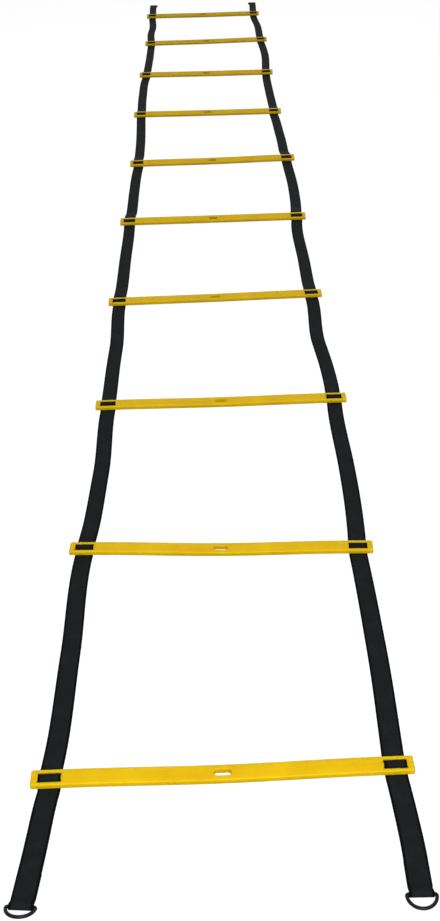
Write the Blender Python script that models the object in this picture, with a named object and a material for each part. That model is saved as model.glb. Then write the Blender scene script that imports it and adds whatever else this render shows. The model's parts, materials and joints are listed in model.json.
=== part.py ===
"""Agility ladder: ten flat moulded rungs woven on to two webbing straps, with a D-ring at each near end.

The ladder lies on the floor. +Y runs along it from the near end, where the D-rings are, +X is to the right
and +Z is up. All sizes are in metres. The origin is at the middle of the whole part, on the floor.

Each strap runs under a rung's near bar, up through the near slot, over the middle bar, down through the far
slot and under the far bar. It is one strip of webbing, cut at the middle of each bay, where the ladder folds.
"""

import math

import bmesh
import bpy
from mathutils import Matrix, Vector

MM = 0.001

# Rungs
RUNG_COUNT = 10
RUNG_PITCH = 460 * MM
RUNG_LENGTH = 450 * MM
RUNG_WIDTH = 24.5 * MM
RUNG_THICKNESS = 7 * MM
RUNG_CORNER_RADIUS = 2.4 * MM
RUNG_EDGE_RADIUS = 1.3 * MM
RUNG_SAG = 3.3 * MM
OUTER_BAR_WIDTH = 4.5 * MM
MIDDLE_BAR_WIDTH = 5.5 * MM
END_MARGIN = 8 * MM
SLOT_CORNER_RADIUS = 1 * MM
SLOT_EDGE_RADIUS = 0.5 * MM
CENTRE_SLOT_LENGTH = 20.5 * MM
CENTRE_SLOT_WIDTH = 10 * MM
CENTRE_SLOT_RADIUS = 4 * MM

# Webbing
STRAP_WIDTH = 27 * MM
STRAP_THICKNESS = 1.4 * MM
SLOT_SIDE_PLAY = 0.6 * MM
CLEARANCE = 0.3 * MM
FOLD_GAP = 0.3 * MM
LIFT_RUN = 70 * MM
WEAVE_LEAD = 3 * MM

# Near ends, with the rings
NEAR_TAIL = 179 * MM
FOLD_BACK_LENGTH = 45 * MM
FOLD_BACK_DROP_RUN = 14 * MM
RING_WIRE_RADIUS = 2 * MM
RING_SIDE_PLAY = 0.4 * MM
RING_INNER_DEPTH = 13.4 * MM
RING_CORNER_RADIUS = 2.4 * MM

# Far ends, with a hem
FAR_TAIL = 246 * MM
HEM_LENGTH = 32 * MM
HEM_SKEW = 4 * MM

# How the ladder lies in the photograph, rung by rung from the near end
RUNG_ALONG_SHARES = (0.0, -0.024, -0.044, -0.060, -0.058, -0.088, -0.082, -0.065, -0.054, -0.061)
RUNG_SIDE_SHARES = (0.0, 0.008, 0.022, 0.009, 0.006, 0.010, -0.016, -0.022, -0.020, -0.045)
RUNG_TURN_DEGREES = (0.9, -2.2, 0.4, 1.9, 0.6, 1.8, -0.7, -1.2, 1.9, -0.3)
RUNG_LEAN_DEGREES = (0.0, 1.0, 3.0, 5.0, 12.0, 14.0, 14.0, 16.0, 15.0, 17.0)
RUNG_SAG_SHARES = (0.9, 1.0, 0.43, 0.18, 0.10, 0.42, 0.15, 0.20, 0.27, 0.27)
LEFT_BULGE_SHARES = (0.04, 0.20, 0.10, 0.02, -0.03, 0.08, -0.15, 0.05, -0.02)
RIGHT_BULGE_SHARES = (0.10, 0.14, -0.16, -0.05, 0.22, 0.05, -0.02, 0.27, 0.19)

# How the straps turn at the fold lines, before each rung and after it, with a turn to the left above zero
LEFT_SLANT_DEGREES = (-0.6, -1.6, -1.2, 0.2, 0.2, 1.7, 0.1, -0.4, -3.5)
RIGHT_SLANT_DEGREES = (0.0, -0.1, 4.3, 1.0, -0.3, 2.1, 0.5, -0.8, 0.2)
LEFT_REACH_DEGREES = (-8.5, -2.5, -2.3, -2.6, 1.4, -4.6, 3.1, -3.5, -2.3, 3.1)
LEFT_LEAVE_DEGREES = (-5.1, -2.9, 0.0, -3.9, -3.0, -1.5, 2.3, 0.9, -0.4, 0.0)
RIGHT_REACH_DEGREES = (2.8, 4.0, -3.1, 0.7, -5.6, -0.8, 4.5, 0.0, 1.3, 0.6)
RIGHT_LEAVE_DEGREES = (-2.8, -2.1, -2.4, -0.2, -5.8, 1.0, -0.8, 0.1, -2.0, 0.0)

# How the ends lie
NEAR_ALONG_SHARES = {"left": -0.002, "right": 0.003}
NEAR_SIDE_SHARES = {"left": -0.026, "right": 0.008}
NEAR_TURN_DEGREES = {"left": -4.5, "right": -0.7}
FAR_SIDE_SHARES = {"left": -0.010, "right": 0.008}
RING_SWING_DEGREES = {"left": 17.0, "right": -4.0}

# Roundness
CORNER_STEPS = 2
EDGE_STEPS = 2
BEND_STEPS = 3
LEVEL_STEPS = 4
LIFT_STEPS = 4
RING_ARC_STEPS = 12
WIRE_SIDES = 8
FLAT_STEPS = 4
SHARP_DEGREES = 35
RIM_DEGREES = 60

# Colours, with an alpha of 1
RUNG_COLOUR = (0.80, 0.48, 0.005, 1.0)
STRAP_COLOUR = (0.012, 0.014, 0.016, 1.0)
RING_COLOUR = (0.02, 0.022, 0.03, 1.0)
RUNG_ROUGHNESS = 0.42
STRAP_ROUGHNESS = 0.85
RING_ROUGHNESS = 0.35
RING_METALLIC = 0.8

# Worked out from the sizes above
SLOT_LENGTH = STRAP_WIDTH + 2 * SLOT_SIDE_PLAY
SLOT_WIDTH = (RUNG_WIDTH - 2 * OUTER_BAR_WIDTH - MIDDLE_BAR_WIDTH) / 2
SLOT_CENTRE_X = RUNG_LENGTH / 2 - END_MARGIN - SLOT_LENGTH / 2
FLAT_START_X = RUNG_LENGTH / 2 - 2 * END_MARGIN - SLOT_LENGTH
HALF_STRAP = STRAP_THICKNESS / 2
BEND_RADIUS = CLEARANCE + HALF_STRAP
RING_INNER_WIDTH = STRAP_WIDTH + 2 * RING_SIDE_PLAY
RING_BAR_HEIGHT = RING_WIRE_RADIUS + CLEARANCE + STRAP_THICKNESS
UPPER_LAYER_HEIGHT = STRAP_THICKNESS + CLEARANCE + HALF_STRAP
SIDE_SIGNS = {"left": -1, "right": 1}
BULGE_SHARES = {"left": LEFT_BULGE_SHARES, "right": RIGHT_BULGE_SHARES}
SLANT_DEGREES = {"left": LEFT_SLANT_DEGREES, "right": RIGHT_SLANT_DEGREES}
REACH_DEGREES = {"left": LEFT_REACH_DEGREES, "right": RIGHT_REACH_DEGREES}
LEAVE_DEGREES = {"left": LEFT_LEAVE_DEGREES, "right": RIGHT_LEAVE_DEGREES}


def clear_scene():
    for old in list(bpy.data.objects):
        bpy.data.objects.remove(old, do_unlink=True)


def new_material(name, colour, roughness, metallic):
    material = bpy.data.materials.new(name)
    material.use_nodes = True
    shader = material.node_tree.nodes["Principled BSDF"]
    shader.inputs["Base Color"].default_value = colour
    shader.inputs["Roughness"].default_value = roughness
    shader.inputs["Metallic"].default_value = metallic
    return material


def add_empty(name, location, parent):
    empty = bpy.data.objects.new(name, None)
    empty.location = location
    empty.parent = parent
    bpy.context.scene.collection.objects.link(empty)
    return empty


def add_object(name, mesh, material, parent):
    piece = bpy.data.objects.new(name, mesh)
    if not mesh.materials:
        mesh.materials.append(material)
    piece.parent = parent
    bpy.context.scene.collection.objects.link(piece)
    return piece


def finished_mesh(shape, name):
    bmesh.ops.recalc_face_normals(shape, faces=shape.faces)
    mesh = bpy.data.meshes.new(name)
    shape.to_mesh(mesh)
    shape.free()
    mesh.shade_smooth()
    mesh.set_sharp_from_angle(angle=math.radians(SHARP_DEGREES))
    return mesh


def blend(share):
    """Rises smoothly from 0 to 1."""
    share = min(max(share, 0.0), 1.0)
    return share * share * (3 - 2 * share)


def hermite(start, start_slope, end, end_slope, share):
    """The point at a share of the way along a smooth curve whose two ends and end slopes are given."""
    squared = share * share
    cubed = squared * share
    from_start = (2 * cubed - 3 * squared + 1) * start + (cubed - 2 * squared + share) * start_slope
    from_end = (3 * squared - 2 * cubed) * end + (cubed - squared) * end_slope
    return from_start + from_end


# Rung


def rounded_box(centre, length, width, radius, steps):
    """Points round a rectangle with round corners, anticlockwise from its right-hand lower corner."""
    points = []
    for quarter in range(4):
        angle = math.radians(90 * quarter - 90)
        sign_x = 1 if quarter in (0, 1) else -1
        sign_y = 1 if quarter in (1, 2) else -1
        corner = Vector((sign_x * (length / 2 - radius), sign_y * (width / 2 - radius)))
        for step in range(steps + 1):
            turn = angle + math.radians(90) * step / steps
            points.append(Vector(centre) + corner + radius * Vector((math.cos(turn), math.sin(turn))))
    return points


def rung_outline():
    """The rung's plan, with points along both long sides where it bends."""
    corners = rounded_box((0, 0), RUNG_LENGTH, RUNG_WIDTH, RUNG_CORNER_RADIUS, CORNER_STEPS)
    far_side = []
    for step in range(2 * FLAT_STEPS + 1):
        x = FLAT_START_X * (1 - step / FLAT_STEPS)
        far_side.append(Vector((x, RUNG_WIDTH / 2)))
    near_side = [Vector((-point.x, -point.y)) for point in far_side]
    half = len(corners) // 2
    return corners[:half] + far_side + corners[half:] + near_side


def rung_slots():
    """The plans of the four strap slots and of the slot at the middle."""
    slot_y = (MIDDLE_BAR_WIDTH + SLOT_WIDTH) / 2
    slots = [rounded_box((0, 0), CENTRE_SLOT_LENGTH, CENTRE_SLOT_WIDTH, CENTRE_SLOT_RADIUS, CORNER_STEPS)]
    for sign_x in (-1, 1):
        for sign_y in (-1, 1):
            centre = (sign_x * SLOT_CENTRE_X, sign_y * slot_y)
            slots.append(rounded_box(centre, SLOT_LENGTH, SLOT_WIDTH, SLOT_CORNER_RADIUS, CORNER_STEPS))
    return slots


def add_loop(shape, points, height):
    ring = [shape.verts.new((point.x, point.y, height)) for point in points]
    return [shape.edges.new((ring[index - 1], ring[index])) for index in range(len(ring))]


def rim_edges(shape):
    """The square edges round the plan and round the slots, above and below."""
    outer = []
    inner = []
    for edge in shape.edges:
        first, second = edge.verts
        level = abs(first.co.z - second.co.z) < RUNG_THICKNESS / 2
        if not level or edge.calc_face_angle() < math.radians(RIM_DEGREES):
            continue
        middle = (first.co + second.co) / 2
        on_end = abs(middle.x) > (RUNG_LENGTH - END_MARGIN) / 2
        on_side = abs(middle.y) > (RUNG_WIDTH - OUTER_BAR_WIDTH) / 2
        (outer if on_end or on_side else inner).append(edge)
    return outer, inner


def bevel(shape, edges, radius, steps):
    bmesh.ops.bevel(shape, geom=edges, offset=radius, segments=steps, profile=0.5, affect="EDGES")


def rung_sag(index):
    return RUNG_SAG_SHARES[index] * RUNG_SAG


def rung_mesh(index):
    """A flat bar with rounded edges and five slots, whose ends stay level and whose middle hangs a little."""
    shape = bmesh.new()
    edges = add_loop(shape, rung_outline(), RUNG_THICKNESS)
    for slot in rung_slots():
        edges += add_loop(shape, slot, RUNG_THICKNESS)
    bmesh.ops.triangle_fill(shape, use_beauty=True, use_dissolve=False, edges=edges, normal=(0, 0, 1))
    top = list(shape.faces)
    made = bmesh.ops.extrude_face_region(shape, geom=top)
    lower = [item for item in made["geom"] if isinstance(item, bmesh.types.BMVert)]
    bmesh.ops.translate(shape, verts=lower, vec=(0, 0, -RUNG_THICKNESS))
    bmesh.ops.recalc_face_normals(shape, faces=shape.faces)
    outer, inner = rim_edges(shape)
    bevel(shape, inner, SLOT_EDGE_RADIUS, 1)
    outer, inner = rim_edges(shape)
    bevel(shape, outer, RUNG_EDGE_RADIUS, EDGE_STEPS)
    for vertex in shape.verts:
        vertex.co.z += rung_sag(index) * blend(abs(vertex.co.x) / FLAT_START_X)
    return finished_mesh(shape, "rung")


def rung_frame(index):
    """Where a rung lies: its own frame has its middle line at y 0 and the underside of its middle at z 0.

    A rung that hangs little is carried by the straps under its bars, and its middle stays off the floor.
    """
    lean = math.radians(RUNG_LEAN_DEGREES[index])
    turn = math.radians(RUNG_TURN_DEGREES[index])
    x = RUNG_SIDE_SHARES[index] * RUNG_LENGTH
    y = (index + RUNG_ALONG_SHARES[index]) * RUNG_PITCH
    carried = max(STRAP_THICKNESS + CLEARANCE - rung_sag(index), 0)
    z = (RUNG_WIDTH / 2 + WEAVE_LEAD) * math.sin(lean) + carried
    return Matrix.Translation((x, y, z)) @ Matrix.Rotation(turn, 4, "Z") @ Matrix.Rotation(lean, 4, "X")


# Straps. A station is a point on the strap's middle line, the direction across it and the direction along it.


def arc_stations(frame, x, centre, start_degrees, end_degrees, steps):
    """Stations on an arc in the frame's upright plane at x, run through the way the angle turns."""
    turn = 1 if end_degrees > start_degrees else -1
    stations = []
    for step in range(steps + 1):
        angle = math.radians(start_degrees + (end_degrees - start_degrees) * step / steps)
        y = centre[0] + BEND_RADIUS * math.cos(angle)
        z = centre[1] + BEND_RADIUS * math.sin(angle)
        along = Vector((0, -turn * math.sin(angle), turn * math.cos(angle)))
        stations.append(placed(frame, Vector((x, y, z)), along))
    return stations


def placed(frame, point, along):
    rotation = frame.to_3x3()
    return frame @ point, rotation @ Vector((1, 0, 0)), rotation @ along


def weave_stations(index, side):
    """The strap's way through a rung: under, up, over, down and under."""
    frame = rung_frame(index)
    x = SIDE_SIGNS[side] * SLOT_CENTRE_X
    diagonal = math.hypot(SLOT_WIDTH, RUNG_THICKNESS)
    climb = math.degrees(math.atan2(RUNG_THICKNESS, SLOT_WIDTH) + math.asin(2 * BEND_RADIUS / diagonal))
    bar_edge = MIDDLE_BAR_WIDTH / 2 + SLOT_WIDTH
    below = rung_sag(index)
    above = below + RUNG_THICKNESS
    end_y = RUNG_WIDTH / 2 + WEAVE_LEAD
    level = Vector((0, 1, 0))
    stations = [placed(frame, Vector((x, -end_y, below - BEND_RADIUS)), level)]
    stations += arc_stations(frame, x, (-bar_edge, below), -90, climb - 90, BEND_STEPS)
    stations += arc_stations(frame, x, (-MIDDLE_BAR_WIDTH / 2, above), climb + 90, 90, BEND_STEPS)
    stations += arc_stations(frame, x, (MIDDLE_BAR_WIDTH / 2, above), 90, 90 - climb, BEND_STEPS)
    stations += arc_stations(frame, x, (bar_edge, below), 270 - climb, 270, BEND_STEPS)
    stations.append(placed(frame, Vector((x, end_y, below - BEND_RADIUS)), level))
    return stations


def turned(along, degrees):
    """A direction turned about the upright, to the left when looking down on it."""
    return Matrix.Rotation(math.radians(degrees), 3, "Z") @ along


def run_stations(start, end, leave_degrees, reach_degrees, skip_first):
    """Stations along a smooth run between two others, which comes down to the floor from a raised end.

    An end that is at a rung or at a sewn fold is raised, and the run turns there by the degrees given. For an
    end on the floor, at a fold line, they are None.
    """
    from_point, _, from_along = start
    to_point, _, to_along = end
    lift_from_start = leave_degrees is not None
    lift_from_end = reach_degrees is not None
    length = (to_point - from_point).length
    leaving = turned(from_along, leave_degrees or 0) * length
    reaching = turned(to_along, reach_degrees or 0) * length
    lift_run = min(LIFT_RUN, length / 2)
    lift_share = lift_run / length
    first = lift_share if lift_from_start else 0.0
    last = 1 - lift_share if lift_from_end else 1.0
    shares = [first + (last - first) * step / LEVEL_STEPS for step in range(LEVEL_STEPS + 1)]
    for step in range(LIFT_STEPS):
        if lift_from_start:
            shares.append(step / LIFT_STEPS * lift_share)
        if lift_from_end:
            shares.append(1 - step / LIFT_STEPS * lift_share)
    points = []
    for share in sorted(set(shares)):
        point = hermite(from_point, leaving, to_point, reaching, share)
        point.z = HALF_STRAP
        if lift_from_start and share < lift_share:
            point.z = lifted_height(from_point, from_along, lift_run, share / lift_share)
        if lift_from_end and 1 - share < lift_share:
            point.z = lifted_height(to_point, -to_along, lift_run, (1 - share) / lift_share)
        points.append(point)
    stations = []
    for index, point in enumerate(points):
        if index == 0 or index == len(points) - 1:
            stations.append(start if index == 0 else end)
            continue
        along = (points[index + 1] - points[index - 1]).normalized()
        across = Vector((along.y, -along.x, 0)).normalized()
        stations.append((point, across, along))
    return stations[1:] if skip_first else stations


def lifted_height(raised, away, run, share):
    """The height of the strap's middle line as it comes down smoothly from a raised point to the floor."""
    slope = away.z / away.xy.length * run
    return max(hermite(raised.z, slope, HALF_STRAP, 0.0, share), HALF_STRAP)


def fold_y(bay):
    """Where the ladder folds, half-way between two rungs."""
    return (rung_frame(bay).translation.y + rung_frame(bay + 1).translation.y) / 2


def fold_station(bay, side, offset):
    """The strap's end at a fold line, cut square to the ladder whichever way the strap slants there."""
    x = SIDE_SIGNS[side] * SLOT_CENTRE_X
    first = rung_frame(bay) @ Vector((x, 0, 0))
    second = rung_frame(bay + 1) @ Vector((x, 0, 0))
    middle_x = (first.x + second.x) / 2 + BULGE_SHARES[side][bay] * STRAP_WIDTH
    along = turned(Vector((0, 1, 0)), SLANT_DEGREES[side][bay])
    point = Vector((middle_x, fold_y(bay), HALF_STRAP)) + along * offset / along.y
    return point, Vector((1, 0, 0)), along


def ring_frame(side):
    """Where a ring's bar lies. The strap leaves it along the frame's +Y."""
    x = SIDE_SIGNS[side] * SLOT_CENTRE_X + NEAR_SIDE_SHARES[side] * RUNG_LENGTH
    y = NEAR_ALONG_SHARES[side] * RUNG_LENGTH - NEAR_TAIL
    turn = math.radians(NEAR_TURN_DEGREES[side])
    return Matrix.Translation((x, y, RING_BAR_HEIGHT)) @ Matrix.Rotation(turn, 4, "Z")


def near_end_stations(side):
    """From the webbing's cut end, under the ring's bar, round it and back over the fold."""
    frame = ring_frame(side)
    floor = HALF_STRAP - RING_BAR_HEIGHT
    stations = [placed(frame, Vector((0, FOLD_BACK_LENGTH, floor)), Vector((0, -1, 0)))]
    wrap = RING_WIRE_RADIUS + CLEARANCE + HALF_STRAP
    steps = 2 * BEND_STEPS
    for step in range(steps + 1):
        angle = math.radians(-90 - 180 * step / steps)
        point = Vector((0, wrap * math.cos(angle), wrap * math.sin(angle)))
        stations.append(placed(frame, point, Vector((0, math.sin(angle), -math.cos(angle)))))
    upper = UPPER_LAYER_HEIGHT - RING_BAR_HEIGHT
    for step in range(1, LIFT_STEPS + 1):
        share = step / LIFT_STEPS
        height = hermite(wrap, 0.0, upper, 0.0, share)
        slope = 6 * share * (1 - share) * (upper - wrap) / FOLD_BACK_DROP_RUN
        along = Vector((0, 1, slope)).normalized()
        stations.append(placed(frame, Vector((0, FOLD_BACK_DROP_RUN * share, height)), along))
    past_cut = FOLD_BACK_LENGTH + WEAVE_LEAD
    stations.append(placed(frame, Vector((0, past_cut, upper)), Vector((0, 1, 0))))
    return stations


def far_end_stations(side, start):
    """From the last rung to the hem, whose end is folded under, a little to the inner side."""
    sign = SIDE_SIGNS[side]
    x = start[0].x + FAR_SIDE_SHARES[side] * RUNG_LENGTH
    y = rung_frame(RUNG_COUNT - 1).translation.y + FAR_TAIL
    across = Vector((1, 0, 0))
    fold_radius = HALF_STRAP + CLEARANCE / 2
    fold_height = STRAP_THICKNESS + CLEARANCE / 2
    onto_hem = (Vector((x, y - HEM_LENGTH - WEAVE_LEAD, UPPER_LAYER_HEIGHT)), across, Vector((0, 1, 0)))
    stations = run_stations(start, onto_hem, LEAVE_DEGREES[side][-1], 0.0, True)
    steps = 2 * BEND_STEPS
    for step in range(steps + 1):
        angle = math.radians(90 - 180 * step / steps)
        shifted = x - sign * HEM_SKEW * step / steps
        outward = Vector((0, math.cos(angle), math.sin(angle)))
        point = Vector((shifted, y - fold_radius - HALF_STRAP, fold_height)) + fold_radius * outward
        stations.append((point, across, Vector((0, outward.z, -outward.y))))
    cut = Vector((x - sign * HEM_SKEW, y - HEM_LENGTH, HALF_STRAP))
    stations.append((cut, across, Vector((0, -1, 0))))
    return stations


def strap_stations(index, side):
    """One stretch of strap, from fold line to fold line, or to the ladder's end."""
    weave = weave_stations(index, side)
    if index == 0:
        stations = near_end_stations(side)
        stations += run_stations(stations[-1], weave[0], 0.0, REACH_DEGREES[side][0], True)
    else:
        start = fold_station(index - 1, side, FOLD_GAP / 2)
        stations = run_stations(start, weave[0], None, REACH_DEGREES[side][index], False)
    stations += weave[1:]
    if index == RUNG_COUNT - 1:
        return stations + far_end_stations(side, weave[-1])
    end = fold_station(index, side, -FOLD_GAP / 2)
    return stations + run_stations(weave[-1], end, LEAVE_DEGREES[side][index], None, True)


def strap_mesh(name, stations, origin):
    """The webbing's flat section carried along its stations, closed at both ends."""
    shape = bmesh.new()
    rows = []
    for point, across, along in stations:
        up = across.cross(along)
        row = []
        for side, level in ((-1, -1), (1, -1), (1, 1), (-1, 1)):
            corner = point + across * side * STRAP_WIDTH / 2 + up * level * HALF_STRAP
            row.append(shape.verts.new(corner - origin))
        rows.append(row)
    for before, after in zip(rows, rows[1:]):
        for index in range(4):
            shape.faces.new((before[index - 1], before[index], after[index], after[index - 1]))
    shape.faces.new(rows[0])
    shape.faces.new(rows[-1])
    return finished_mesh(shape, name)


# Ring


def ring_path():
    """The wire's middle line in plan: a straight bar along X and a round bow towards -Y."""
    half = RING_INNER_WIDTH / 2 + RING_WIRE_RADIUS
    depth = RING_INNER_DEPTH + 2 * RING_WIRE_RADIUS
    radius = RING_CORNER_RADIUS
    points = []
    for step in range(CORNER_STEPS + 1):
        angle = math.radians(180 - 90 * step / CORNER_STEPS)
        points.append(Vector((radius - half + radius * math.cos(angle), radius * math.sin(angle) - radius)))
    points += [Vector((-point.x, point.y)) for point in reversed(points)]
    for step in range(RING_ARC_STEPS + 1):
        angle = math.radians(-180 * step / RING_ARC_STEPS)
        points.append(Vector((half * math.cos(angle), half - depth + half * math.sin(angle))))
    return points


def ring_mesh():
    shape = bmesh.new()
    points = ring_path()
    rows = []
    for index, point in enumerate(points):
        along = (points[(index + 1) % len(points)] - points[index - 1]).normalized()
        outward = Vector((along.y, -along.x))
        row = []
        for side in range(WIRE_SIDES):
            angle = math.radians(360) * side / WIRE_SIDES
            flat = point + outward * RING_WIRE_RADIUS * math.cos(angle)
            row.append(shape.verts.new((flat.x, flat.y, RING_WIRE_RADIUS * math.sin(angle))))
        rows.append(row)
    for index, row in enumerate(rows):
        before = rows[index - 1]
        for side in range(WIRE_SIDES):
            shape.faces.new((before[side - 1], before[side], row[side], row[side - 1]))
    return finished_mesh(shape, "ring")


# Assembly


def hinge_height(bay):
    """The odd folds turn about the straps' upper face and the even ones about the lower face."""
    return STRAP_THICKNESS if bay % 2 == 0 else 0.0


def build():
    clear_scene()
    rung_material = new_material("rung_plastic", RUNG_COLOUR, RUNG_ROUGHNESS, 0.0)
    strap_material = new_material("strap_webbing", STRAP_COLOUR, STRAP_ROUGHNESS, 0.0)
    ring_material = new_material("ring_metal", RING_COLOUR, RING_ROUGHNESS, RING_METALLIC)
    ladder = add_empty("ladder", (0, 0, 0), None)
    one_ring = ring_mesh()
    panel = ladder
    panel_origin = Vector((0, 0, 0))
    for index in range(RUNG_COUNT):
        number = f"{index + 1:02d}"
        if index:
            origin = Vector((0, fold_y(index - 1), hinge_height(index - 1)))
            panel = add_empty(f"panel_{number}", origin - panel_origin, panel)
            panel_origin = origin
        rung = add_object(f"rung_{number}", rung_mesh(index), rung_material, panel)
        rung.matrix_local = Matrix.Translation(-panel_origin) @ rung_frame(index)
        for side in SIDE_SIGNS:
            name = f"strap_{side}_{number}"
            mesh = strap_mesh(name, strap_stations(index, side), panel_origin)
            add_object(name, mesh, strap_material, panel)
    for side in SIDE_SIGNS:
        ring = add_object(f"ring_{side}", one_ring, ring_material, ladder)
        swing = Matrix.Rotation(-math.radians(RING_SWING_DEGREES[side]), 4, "X")
        ring.matrix_local = ring_frame(side) @ swing
    return ladder


def world_bounds():
    """The lowest and highest corner of all pieces."""
    bpy.context.view_layer.update()
    corners = []
    for piece in bpy.context.scene.objects:
        if piece.type == "MESH":
            corners += [piece.matrix_world @ vertex.co for vertex in piece.data.vertices]
    low = Vector([min(corner[axis] for corner in corners) for axis in range(3)])
    high = Vector([max(corner[axis] for corner in corners) for axis in range(3)])
    return low, high


def centre_on_floor(ladder):
    low, high = world_bounds()
    ladder.location = (-(low.x + high.x) / 2, -(low.y + high.y) / 2, -low.z)
    bpy.context.view_layer.update()


centre_on_floor(build())
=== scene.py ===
"""Looks for the agility ladder: rungs, webbing, stitching, D-rings, floor, lamps and camera."""

import json
import math

import bmesh
import bpy
from mathutils import Matrix, Vector


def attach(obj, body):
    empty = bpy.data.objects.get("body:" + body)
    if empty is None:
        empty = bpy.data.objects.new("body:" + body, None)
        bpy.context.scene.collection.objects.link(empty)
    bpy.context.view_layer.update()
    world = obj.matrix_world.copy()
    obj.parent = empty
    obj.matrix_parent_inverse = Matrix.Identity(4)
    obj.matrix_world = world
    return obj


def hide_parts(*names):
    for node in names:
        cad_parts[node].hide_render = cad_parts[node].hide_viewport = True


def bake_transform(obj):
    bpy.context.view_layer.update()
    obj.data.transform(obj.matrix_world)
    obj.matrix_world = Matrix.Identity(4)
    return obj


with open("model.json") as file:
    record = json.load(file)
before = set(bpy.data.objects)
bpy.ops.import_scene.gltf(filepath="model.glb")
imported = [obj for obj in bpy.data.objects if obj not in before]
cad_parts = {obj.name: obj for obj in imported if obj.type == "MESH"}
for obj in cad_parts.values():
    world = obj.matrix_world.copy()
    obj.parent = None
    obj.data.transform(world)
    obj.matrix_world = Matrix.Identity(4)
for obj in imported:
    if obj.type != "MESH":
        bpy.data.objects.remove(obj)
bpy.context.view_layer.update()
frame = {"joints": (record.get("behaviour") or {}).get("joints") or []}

MM = 0.001

# The ladder's sizes, as in its CAD source
RUNG_COUNT = 10
RUNG_PITCH = 460 * MM
RUNG_LENGTH = 450 * MM
RUNG_WIDTH = 24.5 * MM
RUNG_THICKNESS = 7 * MM
RUNG_CORNER_RADIUS = 2.4 * MM
RUNG_EDGE_RADIUS = 1.3 * MM
RUNG_SAG = 3.3 * MM
OUTER_BAR_WIDTH = 4.5 * MM
MIDDLE_BAR_WIDTH = 5.5 * MM
END_MARGIN = 8 * MM
SLOT_CORNER_RADIUS = 1 * MM
SLOT_EDGE_RADIUS = 0.5 * MM
CENTRE_SLOT_LENGTH = 20.5 * MM
CENTRE_SLOT_WIDTH = 10 * MM
CENTRE_SLOT_RADIUS = 4 * MM
STRAP_WIDTH = 27 * MM
STRAP_THICKNESS = 1.4 * MM
SLOT_SIDE_PLAY = 0.6 * MM
CLEARANCE = 0.3 * MM
LIFT_RUN = 70 * MM
WEAVE_LEAD = 3 * MM
NEAR_TAIL = 179 * MM
FOLD_BACK_LENGTH = 45 * MM
FOLD_BACK_DROP_RUN = 14 * MM
RING_WIRE_RADIUS = 2 * MM
RING_SIDE_PLAY = 0.4 * MM
RING_INNER_DEPTH = 13.4 * MM
RING_CORNER_RADIUS = 2.4 * MM
FAR_TAIL = 246 * MM
HEM_LENGTH = 32 * MM
HEM_SKEW = 4 * MM

# How it lies, rung by rung from the near end
RUNG_ALONG_SHARES = (0.0, -0.024, -0.044, -0.060, -0.058, -0.088, -0.082, -0.065, -0.054, -0.061)
RUNG_SIDE_SHARES = (0.0, 0.008, 0.022, 0.009, 0.006, 0.010, -0.016, -0.022, -0.020, -0.045)
RUNG_TURN_DEGREES = (0.9, -2.2, 0.4, 1.9, 0.6, 1.8, -0.7, -1.2, 1.9, -0.3)
RUNG_LEAN_DEGREES = (0.0, 1.0, 3.0, 5.0, 12.0, 14.0, 14.0, 16.0, 15.0, 17.0)
RUNG_SAG_SHARES = (0.9, 1.0, 0.43, 0.18, 0.10, 0.42, 0.15, 0.20, 0.27, 0.27)
LEFT_BULGE_SHARES = (0.04, 0.20, 0.10, 0.02, -0.03, 0.08, -0.15, 0.05, -0.02)
RIGHT_BULGE_SHARES = (0.10, 0.14, -0.16, -0.05, 0.22, 0.05, -0.02, 0.27, 0.19)

# How the straps turn at the fold lines, before each rung and after it. Above zero is to the left.
LEFT_SLANT_DEGREES = (-0.6, -1.6, -1.2, 0.2, 0.2, 1.7, 0.1, -0.4, -3.5)
RIGHT_SLANT_DEGREES = (0.0, -0.1, 4.3, 1.0, -0.3, 2.1, 0.5, -0.8, 0.2)
LEFT_REACH_DEGREES = (-8.5, -2.5, -2.3, -2.6, 1.4, -4.6, 3.1, -3.5, -2.3, 3.1)
LEFT_LEAVE_DEGREES = (-5.1, -2.9, 0.0, -3.9, -3.0, -1.5, 2.3, 0.9, -0.4, 0.0)
RIGHT_REACH_DEGREES = (2.8, 4.0, -3.1, 0.7, -5.6, -0.8, 4.5, 0.0, 1.3, 0.6)
RIGHT_LEAVE_DEGREES = (-2.8, -2.1, -2.4, -0.2, -5.8, 1.0, -0.8, 0.1, -2.0, 0.0)

# How the ends lie
NEAR_ALONG_SHARES = {"left": -0.002, "right": 0.003}
NEAR_SIDE_SHARES = {"left": -0.026, "right": 0.008}
NEAR_TURN_DEGREES = {"left": -4.5, "right": -0.7}
FAR_SIDE_SHARES = {"left": -0.010, "right": 0.008}
RING_SWING_DEGREES = {"left": 17.0, "right": -4.0}

# Finer steps than the CAD's
CORNER_STEPS = 6
EDGE_STEPS = 4
SLOT_EDGE_STEPS = 3
BEND_STEPS = 6
LEVEL_STEPS = 14
LIFT_STEPS = 12
FLAT_STEPS = 12
FOLD_BACK_STEPS = 8
RING_ARC_STEPS = 36
WIRE_SIDES = 16
ACROSS_STEPS = 8
SELVEDGE_STEPS = 4
FOLD_STEPS = 10
RIM_DEGREES = 60
SHARP_DEGREES = 40

# Where the visual straps are cut into pieces, and the spans listed with each piece
FOLD_RUN = 18 * MM
SLIDE_MARGIN = 6 * MM
NEAR_HOLD = 14 * MM
FAR_HOLD = 36 * MM
SEAM_MARGIN = 1 * MM

# The webbing is drawn in just past the ring's bar, where the swung ring rests on its edges
WAIST_SHARE = 0.06
WAIST_PLACE = 6 * MM

# Stitching: a crossed box on each near fold-back and two rows on each far hem
STITCH_LENGTH = 2.6 * MM
STITCH_PITCH = 3.3 * MM
STITCH_INSET = 2.2 * MM
BOX_START_MARGIN = 2 * MM
BOX_END_MARGIN = 3 * MM
HEM_ROW_MARGINS = (3 * MM, 7 * MM)

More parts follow.
